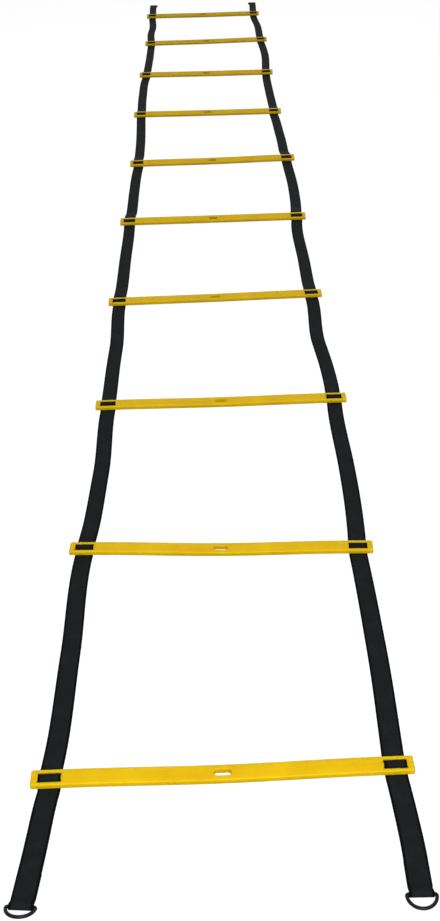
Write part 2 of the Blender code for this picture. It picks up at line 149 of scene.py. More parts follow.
# One stitch: a thread with narrow tips, bowed so that both tips sink into the webbing
THREAD_RADIUS = 0.26 * MM
THREAD_SIDES = 6
THREAD_SHARES = (-1.0, -0.8, -0.4, 0.0, 0.4, 0.8, 1.0)
THREAD_TIP = 0.55
THREAD_RISE = 0.75
THREAD_BOW = 1.15

# The values between which most of a noise lies
NOISE_SPREAD = (0.3, 0.7)

# Rungs' plastic, in linear colours, and how far light goes through it
PLASTIC_DARK = (0.78, 0.480, 0.001, 1.0)
PLASTIC_LIGHT = (0.87, 0.565, 0.002, 1.0)
PLASTIC_STREAK = (0.67, 0.385, 0.001, 1.0)
PLASTIC_SCUFF = (0.84, 0.60, 0.08, 1.0)
PLASTIC_ROUGHNESS = (0.36, 0.46)
PLASTIC_SHINE = 0.07
FLOW_STRETCH = (6.0, 260.0, 260.0)
FLOW_HEIGHT = 0.6
GRAIN_HEIGHT = 0.25
STREAK_RANGE = (0.35, 0.7)
STREAK_SHARE = 0.3
SCUFF_STRETCH = (40.0, 190.0, 60.0)
SCUFF_RANGE = (0.62, 0.74)
SCUFF_SHARE = 0.22
SCUFF_ROUGHNESS = 0.15
GLOW_SHARE = 0.75
GLOW_COLOUR = (1.0, 0.8, 0.1)
GLOW_DEPTH = 9 * MM

# Webbing
YARN_WIDTH = 1.25 * MM
YARN_FLOAT = 2.6 * MM
YARN_STAGGER = 0.5
FIBRE_STRETCH = (5200.0, 700.0, 1.0)
FIBRE_HEIGHT = 0.25
DUST_RANGE = (0.45, 0.75)
DUST_SHARE = 0.3
# The webbing is painted darker toward its edges, as shade on its rounded selvedges
SELVEDGE_WIDTH = 3.6 * MM
SELVEDGE_FULL_SHARE = 0.6
SELVEDGE_SHARE = 0.95
# The first of these colours is painted shade, for the hollows between the yarns
WEBBING_HOLLOW_SHADE = (0.003, 0.0036, 0.0038, 1.0)
WEBBING_LIGHT = (0.0124, 0.0156, 0.0164, 1.0)
WEBBING_DUST = (0.024, 0.028, 0.027, 1.0)
# Painted shade at the webbing's edges
WEBBING_EDGE_SHADE = (0.0006, 0.0008, 0.001, 1.0)
WEBBING_ROUGHNESS = (0.62, 0.8)
WEBBING_SHINE = 0.03

# Thread and rings
THREAD_DARK = (0.003, 0.0034, 0.0036, 1.0)
THREAD_LIGHT = (0.015, 0.017, 0.018, 1.0)
THREAD_ROUGHNESS = 0.55
THREAD_SHINE = 0.08
TWIST_STRETCH = (900.0, 2600.0, 900.0)
RING_DARK = (0.0035, 0.004, 0.009, 1.0)
RING_WORN = (0.035, 0.036, 0.048, 1.0)
RING_ROUGHNESS = (0.3, 0.42)
RING_SHINE = 0.12
WORN_RANGE = (0.6, 0.72)
WORN_SHARE = 0.35

# Floor and surroundings
FLOOR_HALF_SIZE = 30.0
FLOOR_DROP = 0.05 * MM
FLOOR_GREY = (0.22, 0.22, 0.22, 1.0)
FLOOR_GLOW = 0.9
WORLD_WHITE = (1.0, 1.0, 1.0, 1.0)
WORLD_LIGHT = 0.18
WORLD_SEEN = 1.0

# Lamps, with places counted from the first rung
OVERHEAD_PLACE = (0, 1.6, 3.0)
OVERHEAD_TARGET = (0, 1.6, 0)
OVERHEAD_SIZE = (3.0, 5.4)
OVERHEAD_POWER = 48.0
FRONT_PLACE = (0.2, -1.9, 1.7)
FRONT_TARGET = (0, 0.6, 0)
FRONT_RADIUS = 0.2
FRONT_CONE_DEGREES = 100.0
FRONT_POWER = 238.0

# Camera, from a fit to the ends of all ten rungs, with its place counted from the first rung
IMAGE_HEIGHT = 921
FOCAL_PIXELS = 1226.2
SENSOR = 36.0
CAMERA_PLACE = (0.0119, -1.0323, 1.0729)
CAMERA_PITCH = 31.67
CAMERA_ROLL = 1.77
CAMERA_YAW = -0.207
CAMERA_CLIP = (0.05, 100.0)

SLOT_LENGTH = STRAP_WIDTH + 2 * SLOT_SIDE_PLAY
SLOT_WIDTH = (RUNG_WIDTH - 2 * OUTER_BAR_WIDTH - MIDDLE_BAR_WIDTH) / 2
SLOT_CENTRE_X = RUNG_LENGTH / 2 - END_MARGIN - SLOT_LENGTH / 2
FLAT_START_X = RUNG_LENGTH / 2 - 2 * END_MARGIN - SLOT_LENGTH
HALF_WIDTH = STRAP_WIDTH / 2
HALF_STRAP = STRAP_THICKNESS / 2
BEND_RADIUS = CLEARANCE + HALF_STRAP
RING_INNER_WIDTH = STRAP_WIDTH + 2 * RING_SIDE_PLAY
RING_BAR_HEIGHT = RING_WIRE_RADIUS + CLEARANCE + STRAP_THICKNESS
UPPER_LAYER_HEIGHT = STRAP_THICKNESS + CLEARANCE + HALF_STRAP
SIDE_SIGNS = {"left": -1, "right": 1}
BULGE_SHARES = {"left": LEFT_BULGE_SHARES, "right": RIGHT_BULGE_SHARES}
SLANT_DEGREES = {"left": LEFT_SLANT_DEGREES, "right": RIGHT_SLANT_DEGREES}
REACH_DEGREES = {"left": LEFT_REACH_DEGREES, "right": RIGHT_REACH_DEGREES}
LEAVE_DEGREES = {"left": LEFT_LEAVE_DEGREES, "right": RIGHT_LEAVE_DEGREES}


# Helpers


def add_object(name, data):
    piece = bpy.data.objects.new(name, data)
    bpy.context.scene.collection.objects.link(piece)
    return piece


def empty_material(name):
    material = bpy.data.materials.new(name)
    material.use_nodes = True
    tree = material.node_tree
    tree.nodes.clear()
    return material, tree, tree.nodes.new("ShaderNodeOutputMaterial")


def new_material(name):
    material, tree, out = empty_material(name)
    shader = tree.nodes.new("ShaderNodeBsdfPrincipled")
    tree.links.new(shader.outputs["BSDF"], out.inputs["Surface"])
    return material, tree, shader


def feed(tree, socket, value):
    """Gives a socket a value, or links another node's output to it."""
    if isinstance(value, bpy.types.NodeSocket):
        tree.links.new(value, socket)
    else:
        socket.default_value = value


def math_node(tree, operation, first, second=0.0):
    node = tree.nodes.new("ShaderNodeMath")
    node.operation = operation
    feed(tree, node.inputs[0], first)
    feed(tree, node.inputs[1], second)
    return node.outputs[0]


def times(tree, first, second):
    return math_node(tree, "MULTIPLY", first, second)


def noise(tree, vector, scale=1.0, detail=3.0, roughness=0.5):
    node = tree.nodes.new("ShaderNodeTexNoise")
    feed(tree, node.inputs["Vector"], vector)
    node.inputs["Scale"].default_value = scale
    node.inputs["Detail"].default_value = detail
    node.inputs["Roughness"].default_value = roughness
    return node.outputs["Fac"]


def stretched(tree, vector, scale):
    node = tree.nodes.new("ShaderNodeMapping")
    feed(tree, node.inputs["Vector"], vector)
    node.inputs["Scale"].default_value = scale
    return node.outputs["Vector"]


def to_range(tree, value, from_low, from_high, to_low=0.0, to_high=1.0):
    node = tree.nodes.new("ShaderNodeMapRange")
    feed(tree, node.inputs["Value"], value)
    node.inputs["From Min"].default_value = from_low
    node.inputs["From Max"].default_value = from_high
    node.inputs["To Min"].default_value = to_low
    node.inputs["To Max"].default_value = to_high
    return node.outputs["Result"]


def mix_colour(tree, share, first, second):
    node = tree.nodes.new("ShaderNodeMix")
    node.data_type = "RGBA"
    feed(tree, node.inputs["Factor"], share)
    feed(tree, node.inputs[6], first)
    feed(tree, node.inputs[7], second)
    return node.outputs[2]


def bump(tree, height, distance, strength):
    node = tree.nodes.new("ShaderNodeBump")
    feed(tree, node.inputs["Height"], height)
    node.inputs["Distance"].default_value = distance
    node.inputs["Strength"].default_value = strength
    return node.outputs["Normal"]


def hump(tree, share, power):
    """0 at both ends of a share from 0 to 1, and 1 at its middle."""
    rest = math_node(tree, "SUBTRACT", 1.0, share)
    return math_node(tree, "POWER", times(tree, times(tree, share, rest), 4.0), power)


def seen_share(tree):
    """1 for camera, glossy and transmission rays, and 0 for the rays that light the ladder."""
    path = tree.nodes.new("ShaderNodeLightPath")
    seen = math_node(tree, "MAXIMUM", path.outputs["Is Camera Ray"], path.outputs["Is Glossy Ray"])
    return math_node(tree, "MAXIMUM", seen, path.outputs["Is Transmission Ray"])


# Materials


def plastic_material():
    """Yellow moulded plastic: faint flow lines along the bar, a fine grain and a few scuffs."""
    material, tree, shader = new_material("rung_plastic")
    place = tree.nodes.new("ShaderNodeTexCoord").outputs["Object"]
    cloudy = noise(tree, place, scale=24.0)
    flow = noise(tree, stretched(tree, place, FLOW_STRETCH))
    grain = noise(tree, place, scale=1400.0, detail=2.0)
    scraped = stretched(tree, place, SCUFF_STRETCH)
    scuffs = noise(tree, scraped, scale=3.0, detail=6.0, roughness=0.7)
    scuffed = to_range(tree, scuffs, *SCUFF_RANGE)
    cloud = to_range(tree, cloudy, *NOISE_SPREAD)
    colour = mix_colour(tree, cloud, PLASTIC_DARK, PLASTIC_LIGHT)
    streak = to_range(tree, flow, *STREAK_RANGE, to_high=STREAK_SHARE)
    colour = mix_colour(tree, streak, colour, PLASTIC_STREAK)
    colour = mix_colour(tree, times(tree, scuffed, SCUFF_SHARE), colour, PLASTIC_SCUFF)
    feed(tree, shader.inputs["Base Color"], colour)
    rough = to_range(tree, flow, *NOISE_SPREAD, *PLASTIC_ROUGHNESS)
    rough = math_node(tree, "ADD", rough, times(tree, scuffed, SCUFF_ROUGHNESS))
    feed(tree, shader.inputs["Roughness"], rough)
    shader.inputs["Specular IOR Level"].default_value = PLASTIC_SHINE
    shader.inputs["Subsurface Weight"].default_value = GLOW_SHARE
    shader.inputs["Subsurface Radius"].default_value = GLOW_COLOUR
    shader.inputs["Subsurface Scale"].default_value = GLOW_DEPTH
    fine = times(tree, grain, GRAIN_HEIGHT)
    height = math_node(tree, "ADD", times(tree, flow, FLOW_HEIGHT), fine)
    feed(tree, shader.inputs["Normal"], bump(tree, height, distance=0.25 * MM, strength=0.7))
    return material


def webbing_material():
    """Black webbing, with painted shade in its weave's hollows and at its edges. The UV map holds
    metres: U across from the strap's middle, V along it.
    """
    material, tree, shader = new_material("strap_webbing")
    uv_map = tree.nodes.new("ShaderNodeUVMap")
    uv_map.uv_map = "UVMap"
    uv = uv_map.outputs["UV"]
    split = tree.nodes.new("ShaderNodeSeparateXYZ")
    tree.links.new(uv, split.inputs[0])
    across = math_node(tree, "DIVIDE", split.outputs["X"], YARN_WIDTH)
    along = math_node(tree, "DIVIDE", split.outputs["Y"], YARN_FLOAT)
    yarn = math_node(tree, "FLOOR", across)
    staggered = math_node(tree, "ADD", along, times(tree, yarn, YARN_STAGGER))
    ridge = hump(tree, math_node(tree, "FRACT", across), power=0.5)
    floating = hump(tree, math_node(tree, "FRACT", staggered), power=0.4)
    weave = times(tree, ridge, floating)
    fibres = noise(tree, stretched(tree, uv, FIBRE_STRETCH))
    wear = noise(tree, uv, scale=34.0, detail=4.0, roughness=0.6)
    # Painted shade: the webbing is darker in the hollows between yarns and lighter on their crowns
    colour = mix_colour(tree, weave, WEBBING_HOLLOW_SHADE, WEBBING_LIGHT)
    dusty = to_range(tree, wear, *DUST_RANGE, to_high=DUST_SHARE)
    colour = mix_colour(tree, dusty, colour, WEBBING_DUST)
    # Painted shade: the webbing darkens toward its rounded edges
    from_middle = math_node(tree, "ABSOLUTE", split.outputs["X"])
    fade_start = HALF_WIDTH - SELVEDGE_WIDTH
    fade_end = HALF_WIDTH - SELVEDGE_FULL_SHARE * SELVEDGE_WIDTH
    selvedge = to_range(tree, from_middle, fade_start, fade_end, to_high=SELVEDGE_SHARE)
    colour = mix_colour(tree, selvedge, colour, WEBBING_EDGE_SHADE)
    feed(tree, shader.inputs["Base Color"], colour)
    rough = to_range(tree, fibres, *NOISE_SPREAD, *WEBBING_ROUGHNESS)
    feed(tree, shader.inputs["Roughness"], rough)
    shader.inputs["Specular IOR Level"].default_value = WEBBING_SHINE
    height = math_node(tree, "ADD", weave, times(tree, fibres, FIBRE_HEIGHT))
    feed(tree, shader.inputs["Normal"], bump(tree, height, distance=0.22 * MM, strength=0.8))
    return material


def thread_material():
    """Black sewing thread, with its twist."""
    material, tree, shader = new_material("thread")
    place = tree.nodes.new("ShaderNodeTexCoord").outputs["Object"]
    twist = noise(tree, stretched(tree, place, TWIST_STRETCH), detail=2.0)
    feed(tree, shader.inputs["Base Color"], mix_colour(tree, twist, THREAD_DARK, THREAD_LIGHT))
    feed(tree, shader.inputs["Normal"], bump(tree, twist, distance=0.1 * MM, strength=0.6))
    shader.inputs["Roughness"].default_value = THREAD_ROUGHNESS
    shader.inputs["Specular IOR Level"].default_value = THREAD_SHINE
    return material


def ring_material():
    """Dark enamelled steel wire, a little worn."""
    material, tree, shader = new_material("ring_metal")
    place = tree.nodes.new("ShaderNodeTexCoord").outputs["Object"]
    patches = noise(tree, place, scale=160.0, detail=4.0, roughness=0.6)
    fine = noise(tree, place, scale=1500.0, detail=2.0)
    worn = to_range(tree, patches, *WORN_RANGE, to_high=WORN_SHARE)
    feed(tree, shader.inputs["Base Color"], mix_colour(tree, worn, RING_DARK, RING_WORN))
    rough = to_range(tree, patches, *NOISE_SPREAD, *RING_ROUGHNESS)
    feed(tree, shader.inputs["Roughness"], rough)
    shader.inputs["Specular IOR Level"].default_value = RING_SHINE
    feed(tree, shader.inputs["Normal"], bump(tree, fine, distance=0.05 * MM, strength=0.4))
    return material


# Shapes that the CAD source has too, here with finer steps


def blend(share):
    """0 up to a share of 0, 1 from a share of 1, and a smooth step between them."""
    share = min(max(share, 0.0), 1.0)
    return share * share * (3 - 2 * share)


def hermite(start, start_slope, end, end_slope, share):
    squared = share * share
    cubed = squared * share
    from_start = (2 * cubed - 3 * squared + 1) * start + (cubed - 2 * squared + share) * start_slope
    from_end = (3 * squared - 2 * cubed) * end + (cubed - squared) * end_slope
    return from_start + from_end


def rounded_box(centre, length, width, radius, steps):
    points = []
    for quarter in range(4):
        angle = math.radians(90 * quarter - 90)
        sign_x = 1 if quarter in (0, 1) else -1
        sign_y = 1 if quarter in (1, 2) else -1
        corner = Vector((sign_x * (length / 2 - radius), sign_y * (width / 2 - radius)))
        for step in range(steps + 1):
            turn = angle + math.radians(90) * step / steps
            outward = Vector((math.cos(turn), math.sin(turn)))
            points.append(Vector(centre) + corner + radius * outward)
    return points


def rung_outline():
    corners = rounded_box((0, 0), RUNG_LENGTH, RUNG_WIDTH, RUNG_CORNER_RADIUS, CORNER_STEPS)
    far_side = []
    for step in range(2 * FLAT_STEPS + 1):
        x = FLAT_START_X * (1 - step / FLAT_STEPS)
        far_side.append(Vector((x, RUNG_WIDTH / 2)))
    near_side = [Vector((-point.x, -point.y)) for point in far_side]
    half = len(corners) // 2
    return corners[:half] + far_side + corners[half:] + near_side


def rung_slots():
    centre_size = (CENTRE_SLOT_LENGTH, CENTRE_SLOT_WIDTH, CENTRE_SLOT_RADIUS)
    slots = [rounded_box((0, 0), *centre_size, CORNER_STEPS)]
    slot_y = (MIDDLE_BAR_WIDTH + SLOT_WIDTH) / 2
    strap_size = (SLOT_LENGTH, SLOT_WIDTH, SLOT_CORNER_RADIUS)
    for sign_x in (-1, 1):
        for sign_y in (-1, 1):
            centre = (sign_x * SLOT_CENTRE_X, sign_y * slot_y)
            slots.append(rounded_box(centre, *strap_size, CORNER_STEPS))
    return slots


def add_loop(shape, points, height):
    ring = [shape.verts.new((point.x, point.y, height)) for point in points]
    return [shape.edges.new((ring[index - 1], ring[index])) for index in range(len(ring))]


def rim_edges(shape, outside):
    """Sharp level edges, around the rung where outside is true and around its slots where not."""
    edges = []
    for edge in shape.edges:
        first, second = edge.verts
        level = abs(first.co.z - second.co.z) < RUNG_THICKNESS / 2
        if not level or edge.calc_face_angle() < math.radians(RIM_DEGREES):
            continue
        middle = (first.co + second.co) / 2
        on_end = abs(middle.x) > (RUNG_LENGTH - END_MARGIN) / 2
        on_side = abs(middle.y) > (RUNG_WIDTH - OUTER_BAR_WIDTH) / 2
        if (on_end or on_side) == outside:
            edges.append(edge)
    return edges


def bevel(shape, edges, radius, steps):
    bmesh.ops.bevel(
        shape, geom=edges, offset=radius, segments=steps, profile=0.5, affect="EDGES"
    )


def finished_mesh(shape, name):
    bmesh.ops.recalc_face_normals(shape, faces=shape.faces)
    mesh = bpy.data.meshes.new(name)
    shape.to_mesh(mesh)
    shape.free()
    mesh.shade_smooth()
    mesh.set_sharp_from_angle(angle=math.radians(SHARP_DEGREES))
    return mesh


def rung_sag(index):
    return RUNG_SAG_SHARES[index] * RUNG_SAG


def rung_mesh(index):
    shape = bmesh.new()
    edges = add_loop(shape, rung_outline(), RUNG_THICKNESS)
    for slot in rung_slots():
        edges += add_loop(shape, slot, RUNG_THICKNESS)
    bmesh.ops.triangle_fill(
        shape, use_beauty=True, use_dissolve=False, edges=edges, normal=(0, 0, 1)
    )
    made = bmesh.ops.extrude_face_region(shape, geom=list(shape.faces))
    lower = [item for item in made["geom"] if isinstance(item, bmesh.types.BMVert)]
    bmesh.ops.translate(shape, verts=lower, vec=(0, 0, -RUNG_THICKNESS))
    bmesh.ops.recalc_face_normals(shape, faces=shape.faces)
    bevel(shape, rim_edges(shape, outside=False), SLOT_EDGE_RADIUS, SLOT_EDGE_STEPS)
    bevel(shape, rim_edges(shape, outside=True), RUNG_EDGE_RADIUS, EDGE_STEPS)
    for vertex in shape.verts:
        vertex.co.z += rung_sag(index) * blend(abs(vertex.co.x) / FLAT_START_X)
    return finished_mesh(shape, "rung")


def rung_frame(index):
    """Where a rung lies. Its near edge is the lower one, and the webbing carries its ends."""
    lean = math.radians(RUNG_LEAN_DEGREES[index])
    turn = math.radians(RUNG_TURN_DEGREES[index])
    x = RUNG_SIDE_SHARES[index] * RUNG_LENGTH
    y = (index + RUNG_ALONG_SHARES[index]) * RUNG_PITCH
    carried = max(STRAP_THICKNESS + CLEARANCE - rung_sag(index), 0)
    z = (RUNG_WIDTH / 2 + WEAVE_LEAD) * math.sin(lean) + carried
    rotation = Matrix.Rotation(turn, 4, "Z") @ Matrix.Rotation(lean, 4, "X")
    return Matrix.Translation((x, y, z)) @ rotation


def placed(way, point, along):
    """A station: a point on the strap's middle line, the way across it and the way along it."""
    rotation = way.to_3x3()
    return way @ point, rotation @ Vector((1, 0, 0)), rotation @ along


def arc_stations(way, x, centre, start_degrees, end_degrees):
    turn = 1 if end_degrees > start_degrees else -1
    stations = []
    for step in range(BEND_STEPS + 1):
        angle = math.radians(start_degrees + (end_degrees - start_degrees) * step / BEND_STEPS)
        y = centre[0] + BEND_RADIUS * math.cos(angle)
        z = centre[1] + BEND_RADIUS * math.sin(angle)
        along = Vector((0, -turn * math.sin(angle), turn * math.cos(angle)))
        stations.append(placed(way, Vector((x, y, z)), along))
    return stations


def weave_stations(index, side):
    """The strap's way through a rung, up to the middle of the bar that it goes over and on."""
    way = rung_frame(index)
    x = SIDE_SIGNS[side] * SLOT_CENTRE_X
    diagonal = math.hypot(SLOT_WIDTH, RUNG_THICKNESS)
    steepness = math.atan2(RUNG_THICKNESS, SLOT_WIDTH) + math.asin(2 * BEND_RADIUS / diagonal)
    climb = math.degrees(steepness)
    bar_edge = MIDDLE_BAR_WIDTH / 2 + SLOT_WIDTH
    below = rung_sag(index)
    above = below + RUNG_THICKNESS
    end_y = RUNG_WIDTH / 2 + WEAVE_LEAD
    level = Vector((0, 1, 0))
    middle = placed(way, Vector((x, 0, above + BEND_RADIUS)), level)
    entry = [placed(way, Vector((x, -end_y, below - BEND_RADIUS)), level)]
    entry += arc_stations(way, x, (-bar_edge, below), -90, climb - 90)
    entry += arc_stations(way, x, (-MIDDLE_BAR_WIDTH / 2, above), climb + 90, 90)
    leaving = arc_stations(way, x, (MIDDLE_BAR_WIDTH / 2, above), 90, 90 - climb)
    leaving += arc_stations(way, x, (bar_edge, below), 270 - climb, 270)
    leaving.append(placed(way, Vector((x, end_y, below - BEND_RADIUS)), level))
    return entry + [middle], [middle] + leaving


def lifted_height(raised, away, run, share):
    slope = away.z / away.xy.length * run
    return max(hermite(raised.z, slope, HALF_STRAP, 0.0, share), HALF_STRAP)


def turned(along, degrees):
    return Matrix.Rotation(math.radians(degrees), 3, "Z") @ along


def run_stations(start, end, leave_degrees, reach_degrees):
    """Stations between two others, without those two.

    The degrees say how far the strap turns as it leaves and reaches them. They are None at an end
    that is on the floor.
    """
    from_point, _, from_along = start
    to_point, _, to_along = end
    lift_from_start = leave_degrees is not None
    lift_from_end = reach_degrees is not None
    length = (to_point - from_point).length
    leaving = turned(from_along, leave_degrees or 0) * length
    reaching = turned(to_along, reach_degrees or 0) * length
    lift_run = min(LIFT_RUN, length / 2)
    lift_share = lift_run / length
    first = lift_share if lift_from_start else 0.0
    last = 1 - lift_share if lift_from_end else 1.0
    shares = [first + (last - first) * step / LEVEL_STEPS for step in range(LEVEL_STEPS + 1)]
    for step in range(LIFT_STEPS):
        if lift_from_start:
            shares.append(step / LIFT_STEPS * lift_share)
        if lift_from_end:
            shares.append(1 - step / LIFT_STEPS * lift_share)
    points = []
    for share in sorted(set(shares)):
        point = hermite(from_point, leaving, to_point, reaching, share)
        point.z = HALF_STRAP
        if lift_from_start and share < lift_share:
            point.z = lifted_height(from_point, from_along, lift_run, share / lift_share)
        if lift_from_end and 1 - share < lift_share:
            point.z = lifted_height(to_point, -to_along, lift_run, (1 - share) / lift_share)
        points.append(point)
    stations = []
    for before, point, after in zip(points, points[1:], points[2:]):
        along = (after - before).normalized()
        stations.append((point, Vector((along.y, -along.x, 0)).normalized(), along))
    return stations


def fold_y(bay):
    return (rung_frame(bay).translation.y + rung_frame(bay + 1).translation.y) / 2


def fold_station(bay, side):
    """The strap's station on a bay's fold line."""
    x = SIDE_SIGNS[side] * SLOT_CENTRE_X
    first = rung_frame(bay) @ Vector((x, 0, 0))
    second = rung_frame(bay + 1) @ Vector((x, 0, 0))
    middle_x = (first.x + second.x) / 2 + BULGE_SHARES[side][bay] * STRAP_WIDTH
    along = turned(Vector((0, 1, 0)), SLANT_DEGREES[side][bay])
    return Vector((middle_x, fold_y(bay), HALF_STRAP)), Vector((1, 0, 0)), along


def ring_way(side):
    """The place and turn of a ring's bar."""
    x = SIDE_SIGNS[side] * SLOT_CENTRE_X + NEAR_SIDE_SHARES[side] * RUNG_LENGTH
    y = NEAR_ALONG_SHARES[side] * RUNG_LENGTH - NEAR_TAIL
    turn = math.radians(NEAR_TURN_DEGREES[side])
    return Matrix.Translation((x, y, RING_BAR_HEIGHT)) @ Matrix.Rotation(turn, 4, "Z")


def waisted(station, y):
    """The station, narrower the nearer y, counted from the ring's bar, is to the waist."""
    point, across, along = station
    drawn_in = WAIST_SHARE * (1 - blend(abs(y - WAIST_PLACE) / WAIST_PLACE))
    return point, across * (1 - drawn_in), along


def near_end_stations(side):
    """The sewn fold-back around the ring's bar, from its cut edge to just past that edge on top."""
    way = ring_way(side)
    floor = HALF_STRAP - RING_BAR_HEIGHT
    wrap = RING_WIRE_RADIUS + CLEARANCE + HALF_STRAP
    stations = []
    for step in range(FOLD_BACK_STEPS):
        y = FOLD_BACK_LENGTH * (1 - step / FOLD_BACK_STEPS)
        stations.append(waisted(placed(way, Vector((0, y, floor)), Vector((0, -1, 0))), y))
    steps = 2 * BEND_STEPS
    for step in range(steps + 1):
        angle = math.radians(-90 - 180 * step / steps)
        point = Vector((0, wrap * math.cos(angle), wrap * math.sin(angle)))
        stations.append(placed(way, point, Vector((0, math.sin(angle), -math.cos(angle)))))
    upper = UPPER_LAYER_HEIGHT - RING_BAR_HEIGHT
    for step in range(1, LIFT_STEPS + 1):
        share = step / LIFT_STEPS
        height = hermite(wrap, 0.0, upper, 0.0, share)
        slope = 6 * share * (1 - share) * (upper - wrap) / FOLD_BACK_DROP_RUN
        along = Vector((0, 1, slope)).normalized()
        y = FOLD_BACK_DROP_RUN * share
        stations.append(waisted(placed(way, Vector((0, y, height)), along), y))
    past_cut = FOLD_BACK_LENGTH + WEAVE_LEAD
    stations.append(placed(way, Vector((0, past_cut, upper)), Vector((0, 1, 0))))
    return stations


def far_end_stations(side, start):
    """The run from the last rung and the sewn hem, whose under layer lies a little askew."""
    sign = SIDE_SIGNS[side]
    x = start[0].x + FAR_SIDE_SHARES[side] * RUNG_LENGTH
    y = rung_frame(RUNG_COUNT - 1).translation.y + FAR_TAIL
    across = Vector((1, 0, 0))
    fold_radius = HALF_STRAP + CLEARANCE / 2
    fold_height = STRAP_THICKNESS + CLEARANCE / 2
    hem_start = Vector((x, y - HEM_LENGTH - WEAVE_LEAD, UPPER_LAYER_HEIGHT))
    onto_hem = (hem_start, across, Vector((0, 1, 0)))
    stations = run_stations(start, onto_hem, LEAVE_DEGREES[side][-1], 0.0) + [onto_hem]
    steps = 2 * BEND_STEPS
    for step in range(steps + 1):
        angle = math.radians(90 - 180 * step / steps)
        shifted = x - sign * HEM_SKEW * step / steps
        outward = Vector((0, math.cos(angle), math.sin(angle)))
        middle = Vector((shifted, y - fold_radius - HALF_STRAP, fold_height))
        along = Vector((0, outward.z, -outward.y))
        stations.append((middle + fold_radius * outward, across, along))
    cut = Vector((x - sign * HEM_SKEW, y - HEM_LENGTH, HALF_STRAP))
    stations.append((cut, across, Vector((0, -1, 0))))
    return stations


# Straps


def strap_section():
    """The webbing's section, across and up: flat faces and rounded selvedges."""
    flat = HALF_WIDTH - HALF_STRAP
    points = []
    for sign in (1, -1):
        for step in range(ACROSS_STEPS + 1):
            across = 2 * flat * step / ACROSS_STEPS - flat
            points.append((sign * across, -sign * HALF_STRAP))
        for step in range(1, SELVEDGE_STEPS):
            angle = math.radians(180 * step / SELVEDGE_STEPS - 90 * sign)
            x = sign * flat + HALF_STRAP * math.cos(angle)
            points.append((x, HALF_STRAP * math.sin(angle)))
    return points


def strap_piece(name, stations, shift, travelled):
    """A closed length of webbing along its stations, with a UV map in metres.

    The length starts where the strap has travelled to. The piece comes back with how far it has
    travelled at the length's end.
    """
    shape = bmesh.new()
    section = strap_section()
    uv_layer = shape.loops.layers.uv.new("UVMap")
    rows = []
    lengths = []
    last = stations[0][0]
    for point, across, along in stations:
        travelled += (point - last).length
        last = point
        lengths.append(travelled)
        up = across.cross(along).normalized()
        rows.append([shape.verts.new(point + across * x + up * z + shift) for x, z in section])
    count = len(section)
    for index in range(len(rows) - 1):
        before, after = rows[index], rows[index + 1]
        for step in range(count):
            follow = (step + 1) % count
            face = shape.faces.new((before[step], before[follow], after[follow], after[step]))
            spots = (
                (section[step][0], lengths[index]),
                (section[follow][0], lengths[index]),
                (section[follow][0], lengths[index + 1]),
                (section[step][0], lengths[index + 1]),
            )
            for loop, spot in zip(face.loops, spots):
                loop[uv_layer].uv = spot
    for row, length in ((rows[0], lengths[0]), (rows[-1], lengths[-1])):
        face = shape.faces.new(row)
        for loop, spot in zip(face.loops, section):
            loop[uv_layer].uv = (spot[0], length + spot[1])
    return add_object(name, finished_mesh(shape, name)), travelled


def build_straps(material, shift):
    for side in SIDE_SIGNS:
        travelled = 0.0
        for index in range(RUNG_COUNT):
            for length in strap_lengths(index, side):
                name, stations, from_body, to_body, start_y, end_y = length
                piece, travelled = strap_piece(name, stations, shift, travelled)
                piece.data.materials.append(material)
                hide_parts(f"strap_{side}_{index + 1:02d}")
                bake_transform(piece)


def strap_lengths(index, side):
    """A rung's lengths of strap: the fold before it, where there is one, then onto it and off it.

    Each has its name, its stations, the two bodies that it joins, and the two places between which
    it passes from the one to the other.
    """
    number = f"{index + 1:02d}"
    panel = f"panel_{number}"
    rung = f"rung_{number}"
    entry, leaving = weave_stations(index, side)
    rung_y = rung_frame(index).translation.y
    near_edge = rung_y - RUNG_WIDTH / 2 - SLIDE_MARGIN
    far_edge = rung_y + RUNG_WIDTH / 2 + SLIDE_MARGIN
    reach_degrees = REACH_DEGREES[side][index]
    leave_degrees = LEAVE_DEGREES[side][index]
    lengths = []
    if index == 0:
        near = near_end_stations(side)
        stations = near + run_stations(near[-1], entry[0], 0.0, reach_degrees)
        hold_y = ring_way(side).translation.y + NEAR_HOLD
    else:
        start = fold_station(index - 1, side)
        hold_y = start[0].y + FOLD_RUN
        run = run_stations(start, entry[0], None, reach_degrees)
        seam, rest = split_run([start] + run, hold_y)
        name = f"strap_{side}_fold_{index:02d}"
        before = f"panel_{index:02d}"
        lengths.append((name, turning(start, seam), before, panel, start[0].y, hold_y))
        stations = [seam] + rest
    name = f"strap_{side}_{number}_onto_rung"
    lengths.append((name, stations + entry, panel, rung, hold_y, near_edge))
    if index == RUNG_COUNT - 1:
        stations = far_end_stations(side, leaving[-1])
        hold_y = rung_y + FAR_TAIL - FAR_HOLD
    else:
        end = fold_station(index, side)
        stations = run_stations(leaving[-1], end, leave_degrees, None) + [end]
        hold_y = end[0].y
    name = f"strap_{side}_{number}_off_rung"
    lengths.append((name, leaving + stations, rung, panel, far_edge, hold_y))
    return lengths


def turning(start, seam):
    """Close stations for the short length that turns at a fold."""
    stations = []
    for step in range(FOLD_STEPS + 1):
        share = step / FOLD_STEPS
        across = start[1].lerp(seam[1], share).normalized()
        along = start[2].lerp(seam[2], share).normalized()
        stations.append((start[0].lerp(seam[0], share), across, along))
    return stations


def split_run(stations, y):
    """The station at y and those after it, apart from those very near it."""
    first = [station for station in stations if station[0].y < y - SEAM_MARGIN][-1]
    after = [station for station in stations if station[0].y > y + SEAM_MARGIN]
    second = after[0]
    share = (y - first[0].y) / (second[0].y - first[0].y)
    along = first[2].lerp(second[2], share).normalized()
    across = Vector((along.y, -along.x, 0)).normalized()
    return (first[0].lerp(second[0], share), across, along), after


# Rings


